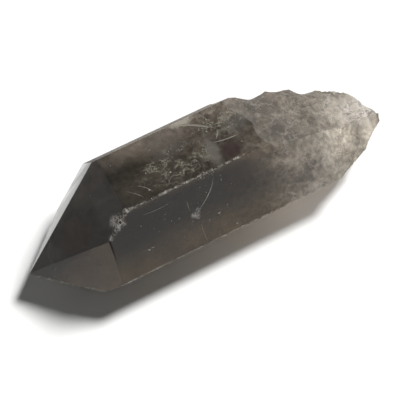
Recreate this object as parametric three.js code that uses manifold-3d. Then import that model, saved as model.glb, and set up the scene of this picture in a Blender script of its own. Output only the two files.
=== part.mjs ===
// A smoky quartz crystal: one natural six-sided point, broken off at its root, lying on a prism face.
// Millimetres, +Z up. The long axis runs along X with the sharp tip towards -X, and z = 0 is the face
// that the crystal rests on. It grew as one piece, so it is one solid.
import * as THREE from 'three';
import { mergeVertices } from 'three/addons/utils/BufferGeometryUtils.js';
import Module from 'manifold-3d';

const wasm = await Module();
wasm.setup();

// ---- driving dimensions -------------------------------------------------------------------------

// Lengths of four sides of the hexagonal section. Quartz prism faces always meet at 120 degrees, so
// the other two sides follow from these.
const SIDE_TOP = 11.9;
const SIDE_FRONT_UPPER = 14.9;
const SIDE_FRONT_LOWER = 9.3;
const SIDE_BACK_UPPER = 10.9;
const SIDE_REST = SIDE_TOP + SIDE_BACK_UPPER - SIDE_FRONT_LOWER;
const SIDE_BACK_LOWER = SIDE_FRONT_UPPER + SIDE_FRONT_LOWER - SIDE_BACK_UPPER;

const TIP_TO_REST_CORNER = 6.9; // across, from the tip's line to the front corner of the resting face
const TIP_HEIGHT = 6.1; // the tip lies low, because the top end face has outgrown the others
const LENGTH = 74.9; // tip to the far end of the broken root

// Angle in quartz between the long axis and the normal of an end face.
const END_FACE_POLAR = THREE.MathUtils.degToRad(51.8);

// ---- frame of the section -----------------------------------------------------------------------

// Outward directions of the six prism faces as angles in the YZ plane, 90 being straight up.
const FACE_ANGLES = { rest: -90, backLower: -30, backUpper: 30, top: 90, frontUpper: 150, frontLower: 210 };
const SIDE_LENGTHS = {
  rest: SIDE_REST,
  backLower: SIDE_BACK_LOWER,
  backUpper: SIDE_BACK_UPPER,
  top: SIDE_TOP,
  frontUpper: SIDE_FRONT_UPPER,
  frontLower: SIDE_FRONT_LOWER,
};

function faceNormal(face) {
  const angle = THREE.MathUtils.degToRad(FACE_ANGLES[face]);
  return new THREE.Vector3(0, Math.cos(angle), Math.sin(angle));
}

// Where each prism face begins in the YZ plane, walking round the section from the resting face.
function sectionCorners() {
  const corner = new THREE.Vector2(-TIP_TO_REST_CORNER, 0);
  const corners = {};
  for (const face of Object.keys(FACE_ANGLES)) {
    corners[face] = corner.clone();
    const along = THREE.MathUtils.degToRad(FACE_ANGLES[face] + 90);
    corner.x += SIDE_LENGTHS[face] * Math.cos(along);
    corner.y += SIDE_LENGTHS[face] * Math.sin(along);
  }
  return corners;
}

const CORNERS = sectionCorners();

// ---- solids -------------------------------------------------------------------------------------

function toSolid(geometry) {
  const bare = geometry.clone();
  bare.deleteAttribute('normal');
  bare.deleteAttribute('uv');
  const merged = mergeVertices(bare, 1e-5);
  return new wasm.Manifold(
    new wasm.Mesh({
      numProp: 3,
      vertProperties: new Float32Array(merged.attributes.position.array),
      triVerts: new Uint32Array(merged.index.array),
    }),
  );
}

function toGeometry(solid) {
  const { vertProperties, triVerts } = solid.getMesh();
  const geometry = new THREE.BufferGeometry();
  geometry.setAttribute('position', new THREE.BufferAttribute(new Float32Array(vertProperties), 3));
  geometry.setIndex(new THREE.BufferAttribute(new Uint32Array(triVerts), 1));
  const faceted = geometry.toNonIndexed();
  faceted.computeVertexNormals();
  return faceted;
}

// Everything on the outer side of a plane, as a box far larger than the crystal.
function outside(point, normal) {
  const size = 4 * LENGTH;
  const box = new THREE.BoxGeometry(size, size, size);
  box.applyQuaternion(new THREE.Quaternion().setFromUnitVectors(new THREE.Vector3(0, 0, 1), normal));
  const centre = point.clone().addScaledVector(normal, size / 2);
  box.translate(centre.x, centre.y, centre.z);
  return toSolid(box);
}

// ---- the grown faces ----------------------------------------------------------------------------

function prism() {
  const margin = 4;
  const shape = new THREE.Shape(Object.values(CORNERS));
  const bar = new THREE.ExtrudeGeometry(shape, { depth: LENGTH + 2 * margin, bevelEnabled: false });
  bar.translate(0, 0, -margin);
  // The section's own X, Y and depth become the crystal's Y, Z and X.
  bar.applyMatrix4(
    new THREE.Matrix4().makeBasis(
      new THREE.Vector3(0, 1, 0),
      new THREE.Vector3(0, 0, 1),
      new THREE.Vector3(1, 0, 0),
    ),
  );
  return toSolid(bar);
}

// How far in front of the tip each end face would meet the tip's line. The hidden lower three stand
// a little further out than the upper three, which meet at the tip itself.
const END_FACE_LEAD = { top: 0, frontUpper: 0, backUpper: 0, frontLower: 0.8, backLower: 0.5, rest: 0.3 };

function withEndFaces(solid) {
  let cut = solid;
  for (const [face, lead] of Object.entries(END_FACE_LEAD)) {
    const normal = faceNormal(face).multiplyScalar(Math.sin(END_FACE_POLAR));
    normal.x = -Math.cos(END_FACE_POLAR);
    cut = cut.subtract(outside(new THREE.Vector3(-lead, 0, TIP_HEIGHT), normal));
  }
  return cut;
}

// A thin plate that grew over the back upper face. Outline as distances along the crystal and down
// the face from its upper edge.
const PLATE_THICKNESS = 0.45;
const PLATE_OUTLINE = [[31.2, 9.9], [30.4, 7.6], [33.1, 1.6], [39.7, 0.9], [46.2, 2.8], [47.1, 9.9]];

function overgrowth() {
  const shape = new THREE.Shape(PLATE_OUTLINE.map(([x, down]) => new THREE.Vector2(x, down)));
  const plate = new THREE.ExtrudeGeometry(shape, {
    depth: 2 * PLATE_THICKNESS,
    bevelEnabled: true,
    bevelThickness: PLATE_THICKNESS / 2,
    bevelSize: PLATE_THICKNESS,
    bevelSegments: 1,
  });
  plate.translate(0, 0, -1.5 * PLATE_THICKNESS);
  const out = faceNormal('backUpper');
  const along = new THREE.Vector3(1, 0, 0);
  const down = new THREE.Vector3().crossVectors(out, along);
  plate.applyMatrix4(new THREE.Matrix4().makeBasis(along, down, out));
  plate.translate(0, CORNERS.top.x, CORNERS.top.y);
  return toSolid(plate);
}

// ---- the broken root ----------------------------------------------------------------------------

// The root came away in a few large breaks, each given by one point on it, its outward direction and
// how far it spreads to either side of that point.
const BREAKS = {
  upper: { point: [60, 1, 14.7], normal: [0.436, 0.096, 0.895], spread: 17 },
  front: { point: [60, -7.4, 12.1], normal: [0.4, -0.62, 0.68], spread: 15 },
  backWide: { point: [56.2, 7.6, 15.9], normal: [0.31, 0.89, 0.33], spread: 13 },
  backEnd: { point: [68.2, 4.7, 10.5], normal: [0.47, 0.83, 0.3], spread: 10 },
  backTip: { point: [72.6, 1.1, 8.4], normal: [0.83, 0.49, 0.27], spread: 5 },
  frontEnd: { point: [71.8, -5.2, 6], normal: [0.53, -0.85, -0.34], spread: 6 },
  frontLow: { point: [63, -9.6, 5.4], normal: [0.36, -0.93, -0.42], spread: 9 },
  under: { point: [61, 0, 1.1], normal: [0.27, 0.05, -0.96], spread: 12 },
  end: { point: [LENGTH - 0.4, -3, 6], normal: [0.98, -0.1, -0.15], spread: 3 },
};

// The flat breaks stand proud by about the depth that the shells take away again.
const SHELL_ALLOWANCE = 0.35;
const SHELL_SPACING = 4.6;
const SHELL_RADIUS = [5.5, 13];
const SHELL_DEPTH = [0.1, 0.8];
const SHELL_DETAIL = 4; // how finely a ball is divided
const SHELL_SEED = 7;

// Quartz breaks in shallow shells. One shell is a ball that dips into the surface from outside,
// drawn out by `stretch` up and down the break.
function shell({ point, normal, radius, depth, stretch }) {
  const out = new THREE.Vector3(...normal).normalize();
  const long = new THREE.Vector3(0, 0, 1).projectOnPlane(out).normalize();
  const side = new THREE.Vector3().crossVectors(long, out);
  const ball = new THREE.IcosahedronGeometry(radius, SHELL_DETAIL);
  ball.scale(1, stretch, 1);
  ball.applyMatrix4(new THREE.Matrix4().makeBasis(side, long, out));
  const centre = new THREE.Vector3(...point).addScaledVector(out, radius - depth);
  ball.translate(centre.x, centre.y, centre.z);
  return toSolid(ball);
}

// The deep notches in the rim of the root.
const NOTCHES = [
  { point: [49.6, 10.9, 14.6], normal: [0.05, 0.83, 0.5], radius: 7.5, depth: 1.1, stretch: 1.7 },
  { point: [52, 9.9, 14.8], normal: [-0.1, 0.83, 0.5], radius: 3.1, depth: 2.1, stretch: 2.2 },
  { point: [62.8, 6.9, 12], normal: [0.3, 0.8, 0.5], radius: 3.4, depth: 0.9, stretch: 2.2 },
  { point: [73.4, 0.2, 8.4], normal: [0.8, 0.4, 0.45], radius: 2.4, depth: 0.5, stretch: 1.5 },
];

// Repeatable random numbers from 0 to 1.
function seeded(seed) {
  let state = seed;
  return () => {
    state = (state * 1664525 + 1013904223) % 4294967296;
    return state / 4294967296;
  };
}

// Shells over the whole of one break, in rows that are shaken out of line.
function breakShells({ point, normal, spread }, random) {
  const between = ([low, high]) => low + (high - low) * random();
  const out = new THREE.Vector3(...normal).normalize();
  const side = new THREE.Vector3(0, 1, 0).projectOnPlane(out).normalize();
  const long = new THREE.Vector3().crossVectors(side, out);
  const shells = [];
  for (let u = -spread; u <= spread; u += SHELL_SPACING) {
    for (let v = -spread; v <= spread; v += SHELL_SPACING) {
      const spot = new THREE.Vector3(...point)
        .addScaledVector(out, SHELL_ALLOWANCE)
        .addScaledVector(side, u + SHELL_SPACING * random())
        .addScaledVector(long, v + SHELL_SPACING * random());
      const size = { radius: between(SHELL_RADIUS), depth: between(SHELL_DEPTH) };
      shells.push(shell({ point: spot.toArray(), normal, ...size, stretch: 1 + random() }));
    }
  }
  return shells;
}

function withBrokenRoot(solid) {
  let cut = solid;
  for (const { point, normal } of Object.values(BREAKS)) {
    const out = new THREE.Vector3(...normal).normalize();
    cut = cut.subtract(outside(new THREE.Vector3(...point).addScaledVector(out, SHELL_ALLOWANCE), out));
  }
  for (const notch of NOTCHES) cut = cut.subtract(shell(notch));
  const random = seeded(SHELL_SEED);
  for (const surface of Object.values(BREAKS)) {
    for (const hollow of breakShells(surface, random)) cut = cut.subtract(hollow);
  }
  return cut;
}

// ---- the part -----------------------------------------------------------------------------------

const smokyQuartz = new THREE.MeshStandardMaterial({ color: 0x4b433b, roughness: 0.12, metalness: 0 });

const grown = withEndFaces(prism()).add(overgrowth());
const crystal = new THREE.Mesh(toGeometry(withBrokenRoot(grown)), smokyQuartz);
crystal.name = 'crystal';

// The origin is the middle of the space the crystal takes up, at the height of its resting face.
crystal.geometry.computeBoundingBox();
const middle = crystal.geometry.boundingBox.getCenter(new THREE.Vector3());
crystal.position.set(-middle.x, -middle.y, -crystal.geometry.boundingBox.min.z);

const part = new THREE.Group();
part.add(crystal);

export default part;
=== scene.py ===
import math

import bmesh
import bpy
import numpy as np
from mathutils import Matrix, Vector, noise


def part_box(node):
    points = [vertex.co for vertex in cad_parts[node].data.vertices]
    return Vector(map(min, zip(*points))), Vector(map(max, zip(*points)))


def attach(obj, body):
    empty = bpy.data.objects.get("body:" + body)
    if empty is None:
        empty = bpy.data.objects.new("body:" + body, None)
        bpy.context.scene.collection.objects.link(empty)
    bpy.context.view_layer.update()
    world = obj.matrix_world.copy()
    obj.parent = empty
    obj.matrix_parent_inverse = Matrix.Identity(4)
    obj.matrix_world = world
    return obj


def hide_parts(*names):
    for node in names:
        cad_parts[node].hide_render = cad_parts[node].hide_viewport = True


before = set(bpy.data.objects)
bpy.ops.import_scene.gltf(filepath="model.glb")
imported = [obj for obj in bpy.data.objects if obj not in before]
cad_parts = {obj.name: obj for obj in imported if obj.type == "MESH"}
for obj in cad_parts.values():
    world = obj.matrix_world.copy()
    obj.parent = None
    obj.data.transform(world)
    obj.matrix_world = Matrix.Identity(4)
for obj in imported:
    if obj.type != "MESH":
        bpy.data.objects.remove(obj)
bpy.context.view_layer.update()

# ==== Camera, floor and light ====================================================================
# A white table top with one large soft lamp behind and to the right, high up, and a pale room
# around it. The camera looks steeply down at the crystal from the front left.

mm = 0.001
LOOK_AT = Vector((-5.31, -8.41, 18.93)) * mm
CAMERA_TURN = math.radians(-28.6)
CAMERA_RISE = math.radians(62.7)
CAMERA_DISTANCE = 272.7 * mm

to_camera = Vector((
    math.sin(CAMERA_TURN) * math.cos(CAMERA_RISE),
    -math.cos(CAMERA_TURN) * math.cos(CAMERA_RISE),
    math.sin(CAMERA_RISE),
))
camera_data = bpy.data.cameras.new("camera")
camera_data.lens = 135
camera_data.sensor_width = 36
camera_data.clip_start = 0.01
camera_data.clip_end = 20
camera = bpy.data.objects.new("camera", camera_data)
camera.location = LOOK_AT + to_camera * CAMERA_DISTANCE
camera.rotation_mode = "QUATERNION"
camera.rotation_quaternion = (-to_camera).to_track_quat("-Z", "Y")
bpy.context.collection.objects.link(camera)
bpy.context.scene.camera = camera
bpy.context.scene.view_settings.view_transform = "Standard"

WALL_LIGHT = 0.42
CEILING_LIGHT = 0.03
world = bpy.data.worlds.new("pale_room")
bpy.context.scene.world = world
world.use_nodes = True
room = world.node_tree
background = room.nodes["Background"]
background.inputs["Color"].default_value = (1, 0.995, 0.985, 1)
look = room.nodes.new("ShaderNodeTexCoord")
height = room.nodes.new("ShaderNodeSeparateXYZ")
fade = room.nodes.new("ShaderNodeMapRange")
fade.inputs["From Min"].default_value = 0.3
fade.inputs["From Max"].default_value = 0.6
fade.inputs["To Min"].default_value = WALL_LIGHT
fade.inputs["To Max"].default_value = CEILING_LIGHT
room.links.new(look.outputs["Generated"], height.inputs[0])
room.links.new(height.outputs["Z"], fade.inputs["Value"])
room.links.new(fade.outputs["Result"], background.inputs["Strength"])

LAMP_DIRECTION = Vector((0.594, 0.145, 0.787))
LAMP_DISTANCE = 2
LAMP_WIDTH = 0.52
LAMP_POWER = 55
lamp_data = bpy.data.lights.new("window", "AREA")
lamp_data.shape = "DISK"
lamp_data.size = LAMP_WIDTH
lamp_data.energy = LAMP_POWER
lamp = bpy.data.objects.new("window", lamp_data)
lamp.location = LAMP_DIRECTION.normalized() * LAMP_DISTANCE
lamp.rotation_euler = LAMP_DIRECTION.to_track_quat("Z", "Y").to_euler()
bpy.context.collection.objects.link(lamp)

FLOOR_REACH = 1.5
floor_mesh = bpy.data.meshes.new("floor")
floor_corners = [
    (x * FLOOR_REACH, y * FLOOR_REACH, 0) for x, y in ((-1, -1), (1, -1), (1, 1), (-1, 1))
]
floor_mesh.from_pydata(floor_corners, [], [(0, 1, 2, 3)])
floor = bpy.data.objects.new("floor", floor_mesh)
bpy.context.collection.objects.link(floor)


def new_material(name):
    """A material and its surface shader."""
    material = bpy.data.materials.new(name)
    material.use_nodes = True
    return material, material.node_tree.nodes["Principled BSDF"]


def add_node(tree, kind, *wires, **values):
    """A node of that kind. Wires go to its sockets in order and None skips one, values named after
    sockets fill or link them, and the rest are its settings."""
    node = tree.nodes.new(kind)
    for name, value in values.items():
        if name.replace("_", " ") not in node.inputs:
            setattr(node, name, value)
    fills = [(node.inputs[i], wire) for i, wire in enumerate(wires) if wire is not None]
    for name, value in values.items():
        socket_name = name.replace("_", " ")
        if socket_name in node.inputs:
            fills.append((node.inputs[socket_name], value))
    for socket, value in fills:
        if isinstance(value, bpy.types.NodeSocket):
            tree.links.new(value, socket)
        else:
            socket.default_value = value
    return node


white_top, top_surface = new_material("white_table")
top_surface.inputs["Base Color"].default_value = (0.93, 0.93, 0.92, 1)
top_surface.inputs["Roughness"].default_value = 0.8
top_surface.inputs["Specular IOR Level"].default_value = 0.0
floor_mesh.materials.append(white_top)

# ==== The grown faces ============================================================================
# One quartz crystal: six prism faces that always meet at 120 degrees, and six end faces that grew
# at different speeds, so the top one has taken over and the tip lies low. Built in millimetres with
# the tip's line as X = Y = 0, and set in its place at the end.

SIDE_TOP = 11.9
SIDE_FRONT_UPPER = 14.9
SIDE_FRONT_LOWER = 9.3
SIDE_BACK_UPPER = 10.9
SIDE_REST = SIDE_TOP + SIDE_BACK_UPPER - SIDE_FRONT_LOWER
SIDE_BACK_LOWER = SIDE_FRONT_UPPER + SIDE_FRONT_LOWER - SIDE_BACK_UPPER
TIP_TO_REST_CORNER = 6.9
TIP_HEIGHT = 6.1
LENGTH = 74.9
END_FACE_TILT = math.radians(51.8)

# Each prism face: its outward direction in degrees in the YZ plane, its side of the section, and
# how far in front of the tip its end face would meet the tip's line.
faces = {
    "rest": (-90, SIDE_REST, 0.3),
    "back_lower": (-30, SIDE_BACK_LOWER, 0.5),
    "back_upper": (30, SIDE_BACK_UPPER, 0),
    "top": (90, SIDE_TOP, 0),
    "front_upper": (150, SIDE_FRONT_UPPER, 0),
    "front_lower": (210, SIDE_FRONT_LOWER, 0.8),
}

corner = Vector((0, -TIP_TO_REST_CORNER, 0))
corners = {}
side_out = {}
end_out = {}
grown_planes = []
for name, (angle, side, lead) in faces.items():
    turn = math.radians(angle)
    outward = Vector((0, math.cos(turn), math.sin(turn)))
    corners[name] = corner.copy()
    side_out[name] = outward
    end_out[name] = outward * math.sin(END_FACE_TILT) - Vector((math.cos(END_FACE_TILT), 0, 0))
    grown_planes.append((corner.copy(), outward))
    grown_planes.append((Vector((-lead, 0, TIP_HEIGHT)), end_out[name]))
    corner += side * Vector((0, math.cos(turn + math.pi / 2), math.sin(turn + math.pi / 2)))


def pared_block(planes, size=400):
    """A block pared down to the inner side of every plane, each given as (point, outward)."""
    shape = bmesh.new()
    bmesh.ops.create_cube(shape, size=size)
    for point, outward in planes:
        bmesh.ops.bisect_plane(
            shape, geom=shape.verts[:] + shape.edges[:] + shape.faces[:], dist=1e-5,
            plane_co=point, plane_no=outward, clear_outer=True,
        )
        bmesh.ops.holes_fill(shape, edges=shape.edges[:])
    bmesh.ops.recalc_face_normals(shape, faces=shape.faces[:])
    return shape


def to_object(shape, name):
    mesh = bpy.data.meshes.new(name)
    shape.to_mesh(mesh)
    shape.free()
    made = bpy.data.objects.new(name, mesh)
    bpy.context.collection.objects.link(made)
    return made


def finish_modifiers(made):
    """Turns an object's modifiers into its plain mesh."""
    graph = bpy.context.evaluated_depsgraph_get()
    solid = bpy.data.meshes.new_from_object(made.evaluated_get(graph))
    made.modifiers.clear()
    old = made.data
    made.data = solid
    bpy.data.meshes.remove(old)
    return made


def combine(made, other, operation, **settings):
    """Cuts, joins or intersects with another solid, which is used up."""
    change = made.modifiers.new("combine", "BOOLEAN")
    change.operation = operation
    change.object = other
    change.material_mode = "TRANSFER"
    for key, value in settings.items():
        setattr(change, key, value)
    finish_modifiers(made)
    bpy.data.objects.remove(other)
    return made


smoky, surface = new_material("grown_quartz")
BEYOND_ROOT = 3
far_end = (Vector((LENGTH + BEYOND_ROOT, 0, 0)), Vector((1, 0, 0)))
prism = to_object(pared_block(grown_planes + [far_end]), "crystal_body")
prism.data.materials.append(smoky)

# A thin plate that grew over the back upper face. Each side runs between two places, given along
# the stone and down from its top edge, and slopes in as it rises.
PLATE_THICKNESS = 0.45
PLATE_SIDE_SLOPE = 0.45
PLATE_SIDES = [
    ((31.2, 9.9), (30.4, 7.6)), ((30.4, 7.6), (33.1, 1.6)), ((33.1, 1.6), (39.7, 0.9)),
    ((39.7, 0.9), (46.2, 2.8)), ((46.2, 2.8), (47.1, 9.9)), ((47.1, 9.9), (31.2, 9.9)),
]
plate_out = side_out["back_upper"]
plate_down = plate_out.cross(Vector((1, 0, 0)))
plate_planes = []
for start, end in PLATE_SIDES:
    run = Vector((end[0] - start[0], end[1] - start[1]))
    edge_out = Vector((run.y, -run.x)).normalized()
    flat_out = Vector((1, 0, 0)) * edge_out.x + plate_down * edge_out.y
    spot = corners["top"] + Vector((1, 0, 0)) * start[0] + plate_down * start[1]
    plate_planes.append((spot, -flat_out + plate_out * PLATE_SIDE_SLOPE))
plate_planes.append((corners["top"] + plate_out * PLATE_THICKNESS, plate_out))
plate_planes.append((corners["top"] - plate_out * PLATE_THICKNESS, -plate_out))
plate = to_object(pared_block(plate_planes), "plate")
plate.data.materials.append(smoky)
combine(prism, plate, "UNION", solver="EXACT")

# Handling has dulled the sharp edges by about a tenth of a millimetre.
WEAR_WIDTH = 0.11
WEAR_ANGLE = math.radians(20)
worn = prism.modifiers.new("worn", "BEVEL")
worn.width = WEAR_WIDTH
worn.segments = 2
worn.limit_method = "ANGLE"
worn.angle_limit = WEAR_ANGLE
finish_modifiers(prism)

# ==== Knocks and scratches =======================================================================
# Handling has knocked chips from the sharp edges, pitted the faces and scratched them. Every knock
# is a small solid that is cut away, so its bed is fresh broken quartz.

# Marks the faces of every break until the finish is made.
fresh_break = bpy.data.materials.new("fresh_break")

# Each grain's turn in radians, how its three widths vary, and how its size varies before it is
# raised to the power that makes large grains rare.
GRAIN_TURNS = (0, 6.3)
GRAIN_WIDTHS = (0.7, 1.15)
GRAIN_SIZES = (0.6, 1.15)
GRAIN_RARITY = 3.0


def any_vector(tree, least, most, seed):
    """A vector for each point, with each part of it drawn between least and most."""
    return add_node(
        tree, "FunctionNodeRandomValue", (least,) * 3, (most,) * 3, data_type="FLOAT_VECTOR", Seed=seed
    ).outputs[0]


def any_number(tree, least, most, seed):
    """A number for each point, drawn between least and most."""
    return add_node(tree, "FunctionNodeRandomValue", None, None, least, most, Seed=seed).outputs[1]


def struck_grains(tree, points, outward, given):
    """Puts rough grains of many sizes on the points, most of each grain outside the stone, and marks
    them as fresh breaks."""
    seed = given.outputs["Seed"]
    turn = any_vector(tree, *GRAIN_TURNS, seed)
    spread = any_vector(tree, *GRAIN_WIDTHS, seed)
    luck = any_number(tree, *GRAIN_SIZES, seed)
    rare = add_node(tree, "ShaderNodeMath", luck, GRAIN_RARITY, operation="POWER")
    girth = add_node(tree, "ShaderNodeMath", rare.outputs[0], given.outputs["Size"], operation="MULTIPLY")
    size = add_node(tree, "ShaderNodeVectorMath", spread, operation="SCALE", Scale=girth.outputs[0])
    lift = add_node(tree, "ShaderNodeMath", girth.outputs[0], given.outputs["Lift"], operation="MULTIPLY")
    out = add_node(tree, "ShaderNodeVectorMath", outward, operation="SCALE", Scale=lift.outputs[0])
    lifted = add_node(tree, "GeometryNodeSetPosition", points, Offset=out.outputs[0])
    grain = add_node(tree, "GeometryNodeMeshIcoSphere", Radius=1.0, Subdivisions=1)
    placed = add_node(
        tree, "GeometryNodeInstanceOnPoints", lifted.outputs[0], Instance=grain.outputs["Mesh"],
        Rotation=turn, Scale=size.outputs[0],
    )
    solid = add_node(tree, "GeometryNodeRealizeInstances", placed.outputs[0])
    marked = add_node(
        tree, "GeometryNodeSetMaterial", solid.outputs[0], Material=given.outputs["Material"]
    )
    add_node(tree, "NodeGroupOutput", marked.outputs[0])


def knock_tree(name, amount):
    """A node group for knocks, with its own inputs first and the ones all knocks share after them."""
    tree = bpy.data.node_groups.new(name, "GeometryNodeTree")
    sockets = [
        ("Geometry", "Geometry"), *amount, ("Size", "Float"), ("Lift", "Float"), ("Seed", "Int"),
        ("Material", "Material"),
    ]
    for title, kind in sockets:
        tree.interface.new_socket(title, in_out="INPUT", socket_type="NodeSocket" + kind)
    tree.interface.new_socket("Geometry", in_out="OUTPUT", socket_type="NodeSocketGeometry")
    return tree, tree.nodes.new("NodeGroupInput")


edge_inputs = [("Number", "Int"), ("Scatter", "Float"), ("Stray", "Float"), ("Outward", "Vector")]
edge_knocks, given = knock_tree("knocks_along_an_edge", edge_inputs)
line = add_node(edge_knocks, "GeometryNodeMeshToCurve", given.outputs["Geometry"])
spaced = add_node(
    edge_knocks, "GeometryNodeCurveToPoints", line.outputs[0], mode="COUNT", Count=given.outputs["Number"]
)
aside = any_vector(edge_knocks, -1, 1, given.outputs["Seed"])
sideways = add_node(
    edge_knocks, "ShaderNodeVectorMath", aside, operation="SCALE", Scale=given.outputs["Scatter"]
)
ahead = any_number(edge_knocks, -1, 1, given.outputs["Seed"])
stray = add_node(edge_knocks, "ShaderNodeMath", ahead, given.outputs["Stray"], operation="MULTIPLY")
along = add_node(
    edge_knocks, "ShaderNodeVectorMath", spaced.outputs["Tangent"], operation="SCALE",
    Scale=stray.outputs[0],
)
offset = add_node(
    edge_knocks, "ShaderNodeVectorMath", sideways.outputs[0], along.outputs[0], operation="ADD"
)
moved = add_node(
    edge_knocks, "GeometryNodeSetPosition", spaced.outputs["Points"], Offset=offset.outputs[0]
)
struck_grains(edge_knocks, moved.outputs[0], given.outputs["Outward"], given)

face_pits, given = knock_tree("pits_over_faces", [("Density", "Float")])
strewn = add_node(
    face_pits, "GeometryNodeDistributePointsOnFaces", given.outputs["Geometry"],
    Density=given.outputs["Density"], Seed=given.outputs["Seed"],
)
struck_grains(face_pits, strewn.outputs["Points"], strewn.outputs["Normal"], given)


def grown_by_nodes(name, mesh, group, **values):
    """A plain object of what the node group makes from the mesh with the given inputs."""
    made = bpy.data.objects.new(name, mesh)
    bpy.context.collection.objects.link(made)
    change = made.modifiers.new(name, "NODES")
    change.node_group = group
    for item in group.interface.items_tree:
        if item.in_out == "INPUT" and item.name in values:
            change[item.identifier] = values[item.name]
    return finish_modifiers(made)


def on_top(x, back):
    """A place on the top face, so far along and so far behind the upper ridge."""
    return corners["front_upper"] + Vector((x, back, 0))


FRONT_LEAN = math.radians(30)


def on_front(x, down):
    """A place on the front upper face, so far along and so far down from the upper ridge."""
    step = Vector((x, -down * math.sin(FRONT_LEAN), -down * math.cos(FRONT_LEAN)))
    return corners["front_upper"] + step


# The corner where the upper ridge ends, and the ridge that runs on from it down the end.
RIDGE_CORNER = on_front(18.9, 0)
END_RIDGE = on_front(13.95, 4.49) - RIDGE_CORNER
ACROSS_END = END_RIDGE.normalized().cross(end_out["top"])
if ACROSS_END.y < 0:
    ACROSS_END.negate()


def on_end(back, down):
    """A place on the big end face, so far behind its ridge with the front and so far down that ridge."""
    return RIDGE_CORNER + END_RIDGE.normalized() * down + ACROSS_END * back


# Each battered edge: its corners, the direction out of the stone there, number of knocks, their
# size, and how far they scatter from the edge and stray along it.
ridge_out = (side_out["top"] + side_out["front_upper"]).normalized()
end_ridge_out = (end_out["top"] + side_out["front_upper"]).normalized()
low_front_out = (side_out["front_upper"] + side_out["front_lower"]).normalized()
low_end_out = (end_out["front_upper"] + end_out["front_lower"]).normalized()
TIP_EDGE = Vector((-0.4, 0, 5.5))
LOW_END_EDGE = [Vector((2.4, -2.5, 5.45)), Vector((10.7, -10.1, 5.45)), on_front(14, SIDE_FRONT_UPPER)]
LOW_FRONT_EDGE = [on_front(14, SIDE_FRONT_UPPER), on_front(58, SIDE_FRONT_UPPER)]
BATTERED = [
    ([on_front(19.4, 0), on_front(18.2, 0.5)], ridge_out, 12, 0.6, 0.2, 0.4),
    ([on_front(18.7, 0.1), on_front(14, 4.4)], end_ridge_out, 40, 0.5, 0.15, 1.2),
    ([on_front(20, 0), on_front(30, 0)], ridge_out, 44, 0.46, 0.09, 3),
    ([on_front(26, 0), on_front(29, 0)], ridge_out, 26, 0.4, 0.16, 1),
    ([on_front(30, 0), on_front(42, 0)], ridge_out, 90, 0.48, 0.12, 3),
    ([TIP_EDGE, Vector((1.8, -1.9, 5.5))], low_end_out, 20, 0.6, 0.1, 0.2),
    (LOW_END_EDGE, low_end_out, 80, 0.5, 0.05, 0.5),
    (LOW_FRONT_EDGE, low_front_out, 80, 0.5, 0.06, 3),
]
# Each bruise is a crushed patch: the way onto its face, its outline, pits in a square millimetre,
# and their size.
BRUISES = [
    (on_front, [(18.7, 0.1), (18.4, 1.0), (17.4, 2.2), (16.2, 3.0), (15.4, 3.1)], 26, 0.34),
    (on_end, [(0.05, 0.4), (1.0, 0.9), (1.5, 2.2), (1.1, 3.6), (0.5, 4.7), (0.05, 5.0)], 26, 0.3),
    (on_front, [(33.4, 0.1), (37.6, 0.1), (36.6, 0.9), (34.8, 1.3), (33.2, 0.8)], 8, 0.34),
    (on_front, [(30.3, 6.9), (31.4, 6.7), (31.9, 7.3), (31.3, 7.6), (31.4, 8.3), (30.8, 7.8)], 5, 0.42),
    (on_front, [(23.6, 0.1), (26.8, 0.1), (25.6, 0.5), (24.2, 0.6)], 8, 0.32),
    (on_top, [(33.4, 0.1), (36.9, 0.1), (36, 0.8), (34, 0.7)], 8, 0.32),
    (on_front, [(20, 1), (38, 1), (38, 11), (20, 11)], 0.22, 0.5),
    (on_front, [(49, 2), (58, 2), (58, 13), (49, 13)], 0.9, 0.45),
]
# The pits strewn over the whole stone: how many in a square millimetre, and their size.
PIT_DENSITY = 0.06
PIT_SIZE = 0.32
PIT_SEED = 21
# How far a grain's middle stands out of the stone, as a share of its size.
EDGE_LIFT = 0.7
BRUISE_LIFT = 0.78
PIT_LIFT = 0.75
cuts = bmesh.new()


def take(made):
    """Adds an object's mesh to the cuts and uses the object up."""
    cuts.from_mesh(made.data)
    bpy.data.objects.remove(made)


for seed, (path, outward, count, size, scatter, stray) in enumerate(BATTERED):
    edge_line = bpy.data.meshes.new("battered_edge")
    edge_line.from_pydata(path, [(i, i + 1) for i in range(len(path) - 1)], [])
    take(grown_by_nodes(
        "knocks", edge_line, edge_knocks, Number=count, Size=size, Scatter=scatter, Stray=stray,
        Seed=seed, Outward=outward, Lift=EDGE_LIFT, Material=fresh_break,
    ))
for seed, (place_on, outline, density, size) in enumerate(BRUISES):
    patch = bpy.data.meshes.new("bruise")
    outline = [place_on(*spot) for spot in outline]
    if place_on != on_top:
        outline.reverse()
    patch.from_pydata(outline, [], [list(range(len(outline)))])
    take(grown_by_nodes(
        "bruise", patch, face_pits, Density=density, Size=size, Seed=seed, Lift=BRUISE_LIFT,
        Material=fresh_break,
    ))
take(grown_by_nodes(
    "pits", prism.data.copy(), face_pits, Density=PIT_DENSITY, Size=PIT_SIZE, Seed=PIT_SEED,
    Lift=PIT_LIFT, Material=fresh_break,
))


def curve_through(place_on, start, bend, end, steps=14):
    """Places along a smooth curve on a face that sets out from start towards bend and comes to end."""
    path = []
    for i in range(steps + 1):
        t = i / steps
        along, across = (
            (1 - t) ** 2 * a + 2 * t * (1 - t) * b + t ** 2 * c for a, b, c in zip(start, bend, end)
        )
        path.append(place_on(along, across))
    return path


GROOVE_RIM = 0.15
GROOVE_ENDS = 0.15


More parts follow.
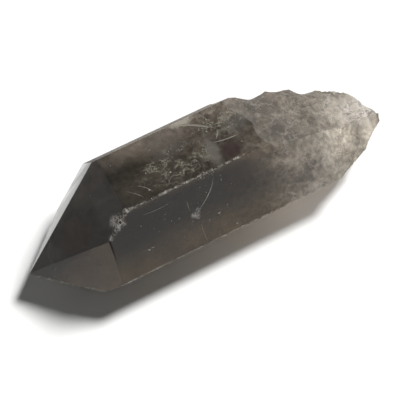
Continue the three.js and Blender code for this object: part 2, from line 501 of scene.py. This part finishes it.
def add_groove(shape, path, outward, width):
    """Adds a V-shaped sliver along the path to the shape, fading out at both ends."""
    rings = []
    for i, spot in enumerate(path):
        ahead = (path[min(i + 1, len(path) - 1)] - path[max(i - 1, 0)]).normalized()
        side = ahead.cross(outward) * width / 2
        fade = max(GROOVE_ENDS, math.sin(math.pi * i / (len(path) - 1)) ** 0.5)
        rim = outward * width * GROOVE_RIM
        bed = -outward * width * fade / 3
        ring = (side * fade + rim, rim - side * fade, bed)
        rings.append([shape.verts.new(spot + v) for v in ring])
    for near, far in zip(rings, rings[1:]):
        for k in range(3):
            shape.faces.new((near[k], near[k - 2], far[k - 2], far[k]))
    shape.faces.new(rings[0])
    shape.faces.new(rings[-1])


top_out = side_out["top"]
front_out = side_out["front_upper"]
# Each scratch: the way onto its face, the face's outward, its start, the place that it bends
# towards, its end, and its width.
SCRATCHES = [
    (on_front, front_out, (36.2, 1.4), (35.9, 4), (31.4, 7.2), 0.26),
    (on_front, front_out, (30.2, 3.8), (30.0, 5), (30.2, 6.3), 0.14),
    (on_front, front_out, (31.6, 9.8), (31.3, 12), (31.8, 14.2), 0.16),
    (on_front, front_out, (21, 2.2), (24, 3), (27.5, 2.4), 0.12),
    (on_top, top_out, (35.2, 11.4), (38, 10.2), (41.4, 7.3), 0.56),
    (on_top, top_out, (39.2, 5.0), (42, 4.1), (45.6, 4.3), 0.26),
    (on_top, top_out, (41.4, 7.2), (41.0, 6), (40.2, 5.3), 0.24),
    (on_top, top_out, (20.6, 3.6), (22.4, 2), (23, 0.8), 0.14),
    (on_top, top_out, (22.6, 3.8), (24.6, 2.6), (25, 0.9), 0.16),
    (on_top, top_out, (44.2, 6.4), (46, 7.2), (46.4, 9), 0.3),
]
for place_on, outward, start, bend, end, width in SCRATCHES:
    add_groove(cuts, curve_through(place_on, start, bend, end), outward, width)
bmesh.ops.recalc_face_normals(cuts, faces=cuts.faces[:])
knocked = to_object(cuts, "knocked")
knocked.data.materials.append(fresh_break)
combine(prism, knocked, "DIFFERENCE", solver="EXACT", use_self=True)

# ==== The broken root ============================================================================
# The crystal was snapped off the rock. Quartz has no cleavage, so the break runs through in shallow
# shells with sharp crests between them, finer and finer, with notches in its rim.

BREAKS = {
    "upper": ((60, 1, 14.7), (0.436, 0.096, 0.895)),
    "front": ((60, -7.4, 12.1), (0.4, -0.62, 0.68)),
    "back_wide": ((56.2, 7.6, 15.9), (0.31, 0.89, 0.33)),
    "back_end": ((68.2, 4.7, 10.5), (0.47, 0.83, 0.3)),
    "back_tip": ((72.6, 1.1, 8.4), (0.83, 0.49, 0.27)),
    "front_end": ((71.8, -5.2, 6), (0.53, -0.85, -0.34)),
    "front_low": ((63, -9.6, 5.4), (0.36, -0.93, -0.42)),
    "under": ((61, 0, 1.1), (0.27, 0.05, -0.96)),
    "end": ((LENGTH - 0.4, -3, 6), (0.98, -0.1, -0.15)),
}
# How far the planes above are moved out, for the shells to cut away again; how fine the mesh of the
# skin is; how far outside the grown faces it is still worked; and the block's room round the stone.
ALLOWANCE = 0.35
GRAIN = 0.26
WORKED_REACH = 1.2
CLEAR = 2.5

break_planes = []
for point, outward in BREAKS.values():
    outward = Vector(outward).normalized()
    break_planes.append((Vector(point) + outward * ALLOWANCE, outward))
around = [
    (Vector((-8, 0, 0)), Vector((-1, 0, 0))),
    (Vector((0, 0, -CLEAR)), Vector((0, 0, -1))),
    (Vector((0, 0, corners["top"].z + CLEAR)), Vector((0, 0, 1))),
    (Vector((0, corners["front_lower"].y - CLEAR - 1, 0)), Vector((0, -1, 0))),
    (Vector((0, corners["back_upper"].y + CLEAR, 0)), Vector((0, 1, 0))),
]
root = to_object(pared_block(break_planes + around), "root")
root.data.materials.append(fresh_break)
fine = root.modifiers.new("fine", "REMESH")
fine.mode = "VOXEL"
fine.voxel_size = GRAIN
finish_modifiers(root)

count = len(root.data.vertices)
spots = np.empty(count * 3)
root.data.vertices.foreach_get("co", spots)
spots = spots.reshape(-1, 3)
outwards = np.empty(count * 3)
root.data.vertex_normals.foreach_get("vector", outwards)
outwards = outwards.reshape(-1, 3)

inside = np.ones(count, bool)
for point, outward in grown_planes:
    inside &= (spots - np.array(point)) @ np.array(outward) < WORKED_REACH
work = np.nonzero(inside)[0]
place = spots[work]

random = np.random.default_rng(5)
SHELL_SCATTER = 0.2


def shells(number, radius, depth):
    """How deep the deepest of many scattered shells is at each place."""
    deepest = np.zeros(len(place))
    for middle in place[random.integers(0, len(place), number)]:
        middle = middle + random.normal(0, SHELL_SCATTER, 3)
        size = random.uniform(*radius)
        away = ((place - middle) ** 2).sum(1)
        deepest = np.maximum(deepest, random.uniform(*depth) - away / (2 * size))
    return deepest


wide = shells(60, (7, 18), (0.15, 0.9))
middling = shells(160, (3, 7), (0.0, 0.14))
dip = wide + middling

# The notches in the back of the rim and, last, a broad hollow in the upper side of the break: point,
# outward, radius, depth, stretch up and down.
NOTCHES = [
    ((49.6, 10.9, 14.6), (0.05, 0.83, 0.5), 7.5, 1.1, 1.7),
    ((52, 9.9, 14.8), (-0.1, 0.83, 0.5), 3.1, 2.1, 2.2),
    ((62.8, 6.9, 12), (0.3, 0.8, 0.5), 3.4, 0.9, 2.2),
    ((73.4, 0.2, 8.4), (0.8, 0.4, 0.45), 2.4, 0.5, 1.5),
    ((66, -3.2, 12.6), (0.436, 0.096, 0.895), 23, 1, 1.2),
]
for point, outward, radius, depth, stretch in NOTCHES:
    outward = Vector(outward).normalized()
    up = (Vector((0, 0, 1)) - outward * outward.z).normalized()
    offset = place - np.array(point)
    along = offset @ np.array(up)
    level = offset @ np.array(outward)
    flat = (offset ** 2).sum(1) - along ** 2 - level ** 2 + (along / stretch) ** 2
    hollow = depth + level - flat / (2 * radius)
    dip = np.maximum(dip, np.where(flat < (2 * radius) ** 2, hollow, 0))

# The crumpled skin of the break: crests of two sizes and a fine grain, each with its depth and the
# length it repeats over, and treads that rise in steps towards the far end.
WIDE_CREST, WIDE_CREST_RUN = 0.14, 3.1
SMALL_CREST, SMALL_CREST_RUN = 0.1, 1.3
SMALL_CREST_SHIFT = Vector((9, 4, 2))
SKIN_GRAIN, SKIN_GRAIN_RUN = 0.03, 0.55
TREAD_DEPTH = 0.26
TREAD_PITCH = 1.0
TREAD_WANDER, TREAD_WANDER_RUN = 1.3, 3.5
TREADS_BEGIN = 61
TREADS_FULL = 66
STEP_RUN = Vector((0.36, -0.93, -0.08)).cross(Vector(BREAKS["upper"][1]))
if STEP_RUN.x < 0:
    STEP_RUN.negate()
for i, spot in enumerate(place):
    spot = Vector(spot)
    crests = WIDE_CREST * abs(noise.noise(spot / WIDE_CREST_RUN))
    crests += SMALL_CREST * abs(noise.noise(spot / SMALL_CREST_RUN + SMALL_CREST_SHIFT))
    grain = SKIN_GRAIN * noise.noise(spot / SKIN_GRAIN_RUN)
    stepped = min(max((spot.x - TREADS_BEGIN) / (TREADS_FULL - TREADS_BEGIN), 0), 1)
    wander = TREAD_WANDER * noise.noise(spot / TREAD_WANDER_RUN)
    tread = (spot.dot(STEP_RUN) / TREAD_PITCH + wander) % 1
    dip[i] += crests + grain + stepped * TREAD_DEPTH * (1 - tread)

spots[work] -= outwards[work] * dip[:, None]
root.data.vertices.foreach_set("co", spots.ravel())
root.data.update()
combine(prism, root, "INTERSECT", solver="MANIFOLD")

# ==== Setting it in place ========================================================================
# The crystal is one solid piece of quartz that lies loose on its rest face. What the knocks and the
# break left behind is cleaned away, and the stone goes from millimetres to its place in metres.

low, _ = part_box("crystal")
TIP_BEHIND_LOWEST_X = 0.1
SHARP_ANGLE = math.radians(14)
shift = Vector((low.x + TIP_BEHIND_LOWEST_X * mm, low.y - corners["front_lower"].y * mm, 0))
place_in_row = Matrix.Translation(shift) @ Matrix.Scale(mm, 4)

shape = bmesh.new()
shape.from_mesh(prism.data)
bmesh.ops.triangulate(shape, faces=shape.faces[:], ngon_method="EAR_CLIP")

# Two triangles on the same three corners are a fold with nothing in it.
alike = {}
for face in shape.faces:
    alike.setdefault(frozenset(face.verts), []).append(face)
folds = [face for group in alike.values() if len(group) > 1 for face in group]
bmesh.ops.delete(shape, geom=folds, context="FACES")

# Only the stone stays: crumbs that were cut free go, and grains buried in it leave no hollow.
unvisited = set(shape.verts)
bodies = []
while unvisited:
    reached = [unvisited.pop()]
    for vertex in reached:
        for edge in vertex.link_edges:
            other = edge.other_vert(vertex)
            if other in unvisited:
                unvisited.remove(other)
                reached.append(other)
    bodies.append(reached)
bodies.sort(key=len)
crumbs = [vertex for body in bodies[:-1] for vertex in body]
bmesh.ops.delete(shape, geom=crumbs, context="VERTS")

# The finish tells broken quartz from grown quartz by this value on each face.
fresh_slot = list(prism.data.materials).index(fresh_break)
broken = shape.faces.layers.float.new("broken")
for face in shape.faces:
    face[broken] = float(face.material_index == fresh_slot)
    face.material_index = 0
shape.transform(place_in_row)
shape.to_mesh(prism.data)
shape.free()
prism.data.shade_smooth()
prism.data.set_sharp_from_angle(angle=SHARP_ANGLE)

# ==== Smoke, clouds and frosting =================================================================
# Natural radiation has browned the quartz, most of all towards the tip, and clouds of tiny bubbles
# make its root milky. The grown faces are glossy, and knocked or broken quartz is pale and rough.
# Some shade, glow, a reflection and glints are painted into the colour as well.

tree = smoky.node_tree
QUARTZ_IOR = 1.544
surface.inputs["Transmission Weight"].default_value = 0.6
surface.inputs["IOR"].default_value = QUARTZ_IOR
surface.inputs["Specular IOR Level"].default_value = 0.28


def maths(operation, first, second):
    return add_node(tree, "ShaderNodeMath", first, second, operation=operation).outputs[0]


def times(first, second):
    return maths("MULTIPLY", first, second)


def vector_maths(operation, *wires, output="Vector"):
    """A vector worked out from others, or the number when the output is "Value"."""
    return add_node(tree, "ShaderNodeVectorMath", *wires, operation=operation).outputs[output]


def eased(value, start, end, low=0.0, high=1.0):
    """Goes smoothly from low to high as the value goes from start to end."""
    return add_node(
        tree, "ShaderNodeMapRange", value, start, end, low, high, interpolation_type="SMOOTHSTEP"
    ).outputs[0]


def cloudy(place, scale, detail, roughness=0.5, output="Fac"):
    """Cloudy noise, with so many clouds in a millimetre."""
    return add_node(
        tree, "ShaderNodeTexNoise", Vector=place, Scale=scale, Detail=detail, Roughness=roughness
    ).outputs[output]


def stretched(place, scale):
    return add_node(tree, "ShaderNodeMapping", Vector=place, Scale=scale).outputs[0]


def blend(share, first, second, mode="MIX"):
    """The first colour with its share of the second laid over it."""
    node = tree.nodes.new("ShaderNodeMix")
    node.data_type = "RGBA"
    node.blend_type = mode
    for socket, value in ((node.inputs[0], share), (node.inputs[6], first), (node.inputs[7], second)):
        if isinstance(value, bpy.types.NodeSocket):
            tree.links.new(value, socket)
        else:
            socket.default_value = value
    return node.outputs[2]


# Places on the stone in millimetres from the tip's line.
coordinates = add_node(tree, "ShaderNodeTexCoord").outputs["Object"]
from_tip = vector_maths("MULTIPLY_ADD", coordinates, (1000, 1000, 1000), tuple(-shift * 1000))
x, y = add_node(tree, "ShaderNodeSeparateXYZ", from_tip).outputs[:2]
# One on broken and knocked quartz, and zero on grown faces.
mark = add_node(tree, "ShaderNodeAttribute", attribute_name="broken").outputs["Fac"]
normal = add_node(tree, "ShaderNodeNewGeometry").outputs["Normal"]


def facing(outward, start, end):
    """One on faces that look out in the direction, and zero on those that turn away from it."""
    match = vector_maths("DOT_PRODUCT", normal, tuple(outward), output="Value")
    return eased(match, start, end)


# The same places pushed about unevenly by up to half this many millimetres each way.
WAVE = 3
uneven = cloudy(from_tip, 0.55, 4, 0.6, output="Color")
centred = vector_maths("ADD", from_tip, (-WAVE / 2,) * 3)
wavy = vector_maths("MULTIPLY_ADD", uneven, (WAVE,) * 3, centred)


def near(middle, reach):
    """One at the middle with a wavy rim, zero past the reach, which is a length along X, Y and Z."""
    scale = tuple(1 / r for r in reach)
    place = stretched(wavy, scale)
    aim = tuple(m / r for m, r in zip(middle, reach))
    away = vector_maths("DISTANCE", place, aim, output="Value")
    return eased(away, 1.0, 0.35)


def grey(value):
    """The value as a grey colour."""
    return add_node(tree, "ShaderNodeCombineColor", value, value, value).outputs[0]


clouds = cloudy(from_tip, 0.13, 4, 0.6)
mottle = cloudy(from_tip, 0.9, 4, 0.65)
warped = maths("ADD", x, times(maths("SUBTRACT", clouds, 0.5), 16))

# The smoke's colour from the tip to the far end, by the share of the length.
smoke_colours = add_node(tree, "ShaderNodeValToRGB", maths("DIVIDE", warped, LENGTH))
stops = [
    (0.0, (0.05, 0.047, 0.043)), (0.24, (0.058, 0.053, 0.044)), (0.35, (0.09, 0.077, 0.06)),
    (0.5, (0.11, 0.094, 0.075)), (0.58, (0.14, 0.12, 0.099)), (0.66, (0.2, 0.175, 0.141)),
    (0.77, (0.255, 0.226, 0.182)), (0.87, (0.285, 0.255, 0.21)), (1.0, (0.74, 0.68, 0.585)),
]
for place_along, _ in stops[1:-1]:
    smoke_colours.color_ramp.elements.new(place_along)
for element, (place_along, colour) in zip(smoke_colours.color_ramp.elements, stops):
    element.position = place_along
    element.color = (*colour, 1)
colour = smoke_colours.outputs["Color"]

# Painted shade darkens the front face just under the upper ridge, and a painted brown glow, standing
# for light that comes through the stone, lightens it low down. The back rim is painted pale.
below_ridge = maths("DIVIDE", maths("SUBTRACT", corners["front_upper"].y, y), SIDE_FRONT_UPPER / 2)
low_front = times(eased(below_ridge, 0.3, 0.95), eased(x, 56, 36))
colour = blend(times(low_front, 0.85), colour, (0.235, 0.185, 0.12, 1))
ridge_shade_painted = times(eased(below_ridge, -0.02, 0.1), eased(below_ridge, 0.85, 0.35))
ridge_shade_painted = times(ridge_shade_painted, eased(x, 50, 38))
colour = blend(times(ridge_shade_painted, 0.85), colour, (0.016, 0.009, 0.004, 1))
back_rim = times(eased(y, 3.5, 7.5), eased(x, 14, 26))
colour = blend(times(back_rim, 0.8), colour, (0.32, 0.275, 0.23, 1))
# Painted light by which way a face looks: the front face is painted darker and browner, as shade and
# glow, where the stone is smoky, and paler on the root, where light comes through the milky quartz.
front_face_painted_light = facing(side_out["front_upper"], 0.75, 0.95)
colour = blend(times(front_face_painted_light, eased(warped, 56, 44)), colour, (0.62, 0.535, 0.425, 1), "MULTIPLY")
colour = blend(times(front_face_painted_light, eased(warped, 48, 60)), colour, (0.66, 0.59, 0.505, 1))
# Painted light on the broken front of the root, where light comes through the milky quartz.
front_break_painted_light = facing((0.4, -0.62, 0.68), 0.86, 0.97)
colour = blend(times(times(front_break_painted_light, mark), eased(x, 51, 68)), colour, (0.8, 0.73, 0.615, 1))
# The big end face gets one flat dark tone, lifted by a painted reflection of the pale room.
top_end_tone_and_reflection = facing(end_out["top"], 0.9, 0.98)
colour = blend(top_end_tone_and_reflection, colour, (0.1, 0.094, 0.085, 1))
# Painted brown glow low on the front end face, standing for light that comes through the stone.
front_end = facing(end_out["front_upper"], 0.9, 0.98)
colour = blend(times(front_end, eased(y, -2, -6)), colour, (0.2, 0.14, 0.09, 1))

# Clouds of tiny bubbles, grey-white and uneven.
patchy = blend(1.0, colour, grey(eased(clouds, 0.3, 0.7, 0.7, 1.35)), "MULTIPLY")
colour = blend(eased(x, 22, 42, 0.4, 1.0), patchy, grey(eased(mottle, 0.3, 0.7, 0.62, 1.42)), "MULTIPLY")

# Where the inside shows lighter or darker: middle, reach, share and colour of each cloud.
CLOUDS = [
    ((31.5, 5, 20.9), (5.5, 4.5, 4), 0.45, (0.25, 0.225, 0.2)),
    ((38.2, -0.8, 20.9), (1.9, 4, 3), 0.7, (0.3, 0.285, 0.25)),
    ((41.4, -2, 20.9), (3.2, 2.8, 3), 0.75, (0.085, 0.06, 0.058)),
    ((45.2, 3.2, 20.9), (4, 3.6, 3), 0.3, (0.36, 0.35, 0.33)),
    ((51, 5, 19), (6, 4.5, 6), 0.7, (0.1, 0.084, 0.068)),
    ((54, -1.5, 19), (6, 4.5, 6), 0.55, (0.105, 0.09, 0.075)),
    ((36.2, 7.7, 20.9), (3.6, 1.3, 1.5), 0.85, (0.75, 0.7, 0.59)),
    ((9, -1, 14), (6, 5, 5), 0.35, (0.15, 0.1, 0.085)),
]
for middle, reach, share, tint in CLOUDS:
    colour = blend(times(near(middle, reach), share), colour, (*tint, 1))


def web(size, thin):
    """A net of thin lines between cells of that size along X, Y and Z."""
    cells = add_node(
        tree, "ShaderNodeTexVoronoi", Vector=stretched(wavy, tuple(1 / s for s in size)), Scale=1.0,
        feature="DISTANCE_TO_EDGE",
    )
    return eased(cells.outputs["Distance"], thin, thin / 3)


# A healed crack that shows as a web of pale threads under the top face.
thread = maths("MAXIMUM", web((2.9, 1.0, 1.0), 0.05), web((1.3, 2.1, 2), 0.036))
gaps = eased(cloudy(from_tip, 0.6, 2), 0.42, 0.56)
reach = maths("MAXIMUM", near((31.5, 0.1, 20.9), (10, 5, 4)), near((43.5, 5, 20.9), (8, 5, 4)))
healed = times(times(thread, gaps), reach)
colour = blend(times(healed, 0.85), colour, (0.5, 0.48, 0.39, 1))

# The break is scored with fine pale lines.
scored = maths("MAXIMUM", web((5, 1.4, 1.8), 0.05), web((1.8, 4.8, 3), 0.035))
scored = times(scored, eased(cloudy(from_tip, 0.45, 2), 0.4, 0.5))
scored = times(scored, eased(warped, 44, 52))
colour = blend(times(scored, 0.27), colour, (0.9, 0.85, 0.78, 1))

# Its far end is splintered into narrow slivers, painted bright: frosted quartz, and a painted glint of
# the lamp on them as well.
splinters_and_painted_glints = times(web((3.6, 0.7, 1.1), 0.1), near((70.5, -0.8, 10), (6, 4.5, 6)))
colour = blend(times(splinters_and_painted_glints, times(mark, 0.85)), colour, (0.98, 0.96, 0.93, 1))

# Handling has worn the sharp edges pale, and along the two low edges the pale line is also a painted
# edge highlight: a point on each, its direction, the stretch along X, how far the pale band reaches,
# and its share.
WORN_AND_GLINTING_EDGES = [
    (RIDGE_CORNER, Vector((1, 0, 0)), (19, 44), 0.42, 0.4),
    (RIDGE_CORNER, END_RIDGE.normalized(), (13.9, 19), 0.8, 0.4),
    (on_front(14, SIDE_FRONT_UPPER), Vector((1, 0, 0)), (13, 60), 0.45, 0.9),
    (TIP_EDGE, Vector((11.1, -10.1, -0.05)).normalized(), (0, 11), 0.4, 0.7),
]
crumbly = cloudy(from_tip, 1.6, 4, 0.7)
for point, along, (first, last), reach, share in WORN_AND_GLINTING_EDGES:
    offset = vector_maths("SUBTRACT", from_tip, tuple(point))
    across = vector_maths("CROSS_PRODUCT", offset, tuple(along))
    away = vector_maths("LENGTH", across, output="Value")
    wear_and_glint = times(eased(away, reach, 0.1), eased(crumbly, 0.42, 0.6))
    ends = times(eased(x, first - 0.5, first + 0.5), eased(x, last + 4, last - 4))
    colour = blend(times(times(wear_and_glint, ends), share), colour, (0.8, 0.76, 0.69, 1))

# The worst blows left crushed, white quartz round them: middle, reach and share of each.
CRUSHED = [
    (on_end(0.7, 2.9), (1.6, 2.1, 2.1), 0.9),
    (on_front(18.7, 0.1), (1.1, 0.8, 0.8), 0.95),
    (on_front(31, 7.4), (1.3, 1.1, 1.1), 0.7),
]
powder = cloudy(from_tip, 3.2, 3, 0.75)
for middle, reach, share in CRUSHED:
    crush = times(near(tuple(middle), reach), eased(powder, 0.42, 0.56))
    colour = blend(times(crush, share), colour, (0.86, 0.83, 0.78, 1))

# Knocks and scratches are frosted white.
struck = times(mark, eased(x, 45, 43))
colour = blend(times(struck, 0.92), colour, (0.74, 0.71, 0.65, 1))
tree.links.new(colour, surface.inputs["Base Color"])

# Grown faces are polished and smudged, and the back upper one is etched dull. Breaks are frosted,
# except where the splintered end is glassy.
smudges = cloudy(from_tip, 0.35, 3, 0.6)
back_etching = facing(side_out["back_upper"], 0.9, 0.97)
polish = maths("ADD", eased(smudges, 0.4, 0.7, 0.04, 0.13), times(back_etching, 0.6))
glassy = times(eased(warped, 65, 68), eased(y, -6.5, -4))
frost = times(eased(mottle, 0.3, 0.7, 0.45, 0.75), eased(glassy, 0, 1, 1.0, 0.16))
roughness = maths("ADD", times(polish, maths("SUBTRACT", 1.0, mark)), times(frost, mark))
tree.links.new(roughness, surface.inputs["Roughness"])

CRUMPLE_HEIGHT = 0.45 * mm
crumple = add_node(tree, "ShaderNodeBump", Height=cloudy(stretched(wavy, (0.8, 2.2, 2.2)), 1.0, 4, 0.65))
tree.links.new(times(mark, eased(glassy, 0, 1, 0.9, 0.65)), crumple.inputs["Strength"])
crumple.inputs["Distance"].default_value = CRUMPLE_HEIGHT
tree.links.new(crumple.outputs[0], surface.inputs["Normal"])

# The smoke inside the stone dims light, by a density for each metre. The lamp shines through the
# pale root and not through the smoky tip, so the shadow is lighter under the root.
SMOKE_DENSITY = 60
smoke = add_node(tree, "ShaderNodeVolumeAbsorption")
smoke.inputs["Color"].default_value = (0.56, 0.47, 0.38, 1)
smoke.inputs["Density"].default_value = SMOKE_DENSITY
tree.links.new(smoke.outputs["Volume"], tree.nodes["Material Output"].inputs["Volume"])
path = add_node(tree, "ShaderNodeLightPath")
let_through = add_node(tree, "ShaderNodeBsdfTransparent")
through_colour = blend(1.0, (1, 0.96, 0.92, 1), grey(eased(x, 12, 66, 0.0, 0.42)), "MULTIPLY")
tree.links.new(through_colour, let_through.inputs["Color"])
lamp_side = add_node(tree, "ShaderNodeMixShader")
tree.links.new(path.outputs["Is Shadow Ray"], lamp_side.inputs["Fac"])
tree.links.new(surface.outputs["BSDF"], lamp_side.inputs[1])
tree.links.new(let_through.outputs["BSDF"], lamp_side.inputs[2])
tree.links.new(lamp_side.outputs[0], tree.nodes["Material Output"].inputs["Surface"])
prism.data.materials.clear()
prism.data.materials.append(smoky)
bpy.data.materials.remove(fresh_break)

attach(prism, "root")
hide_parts("crystal")
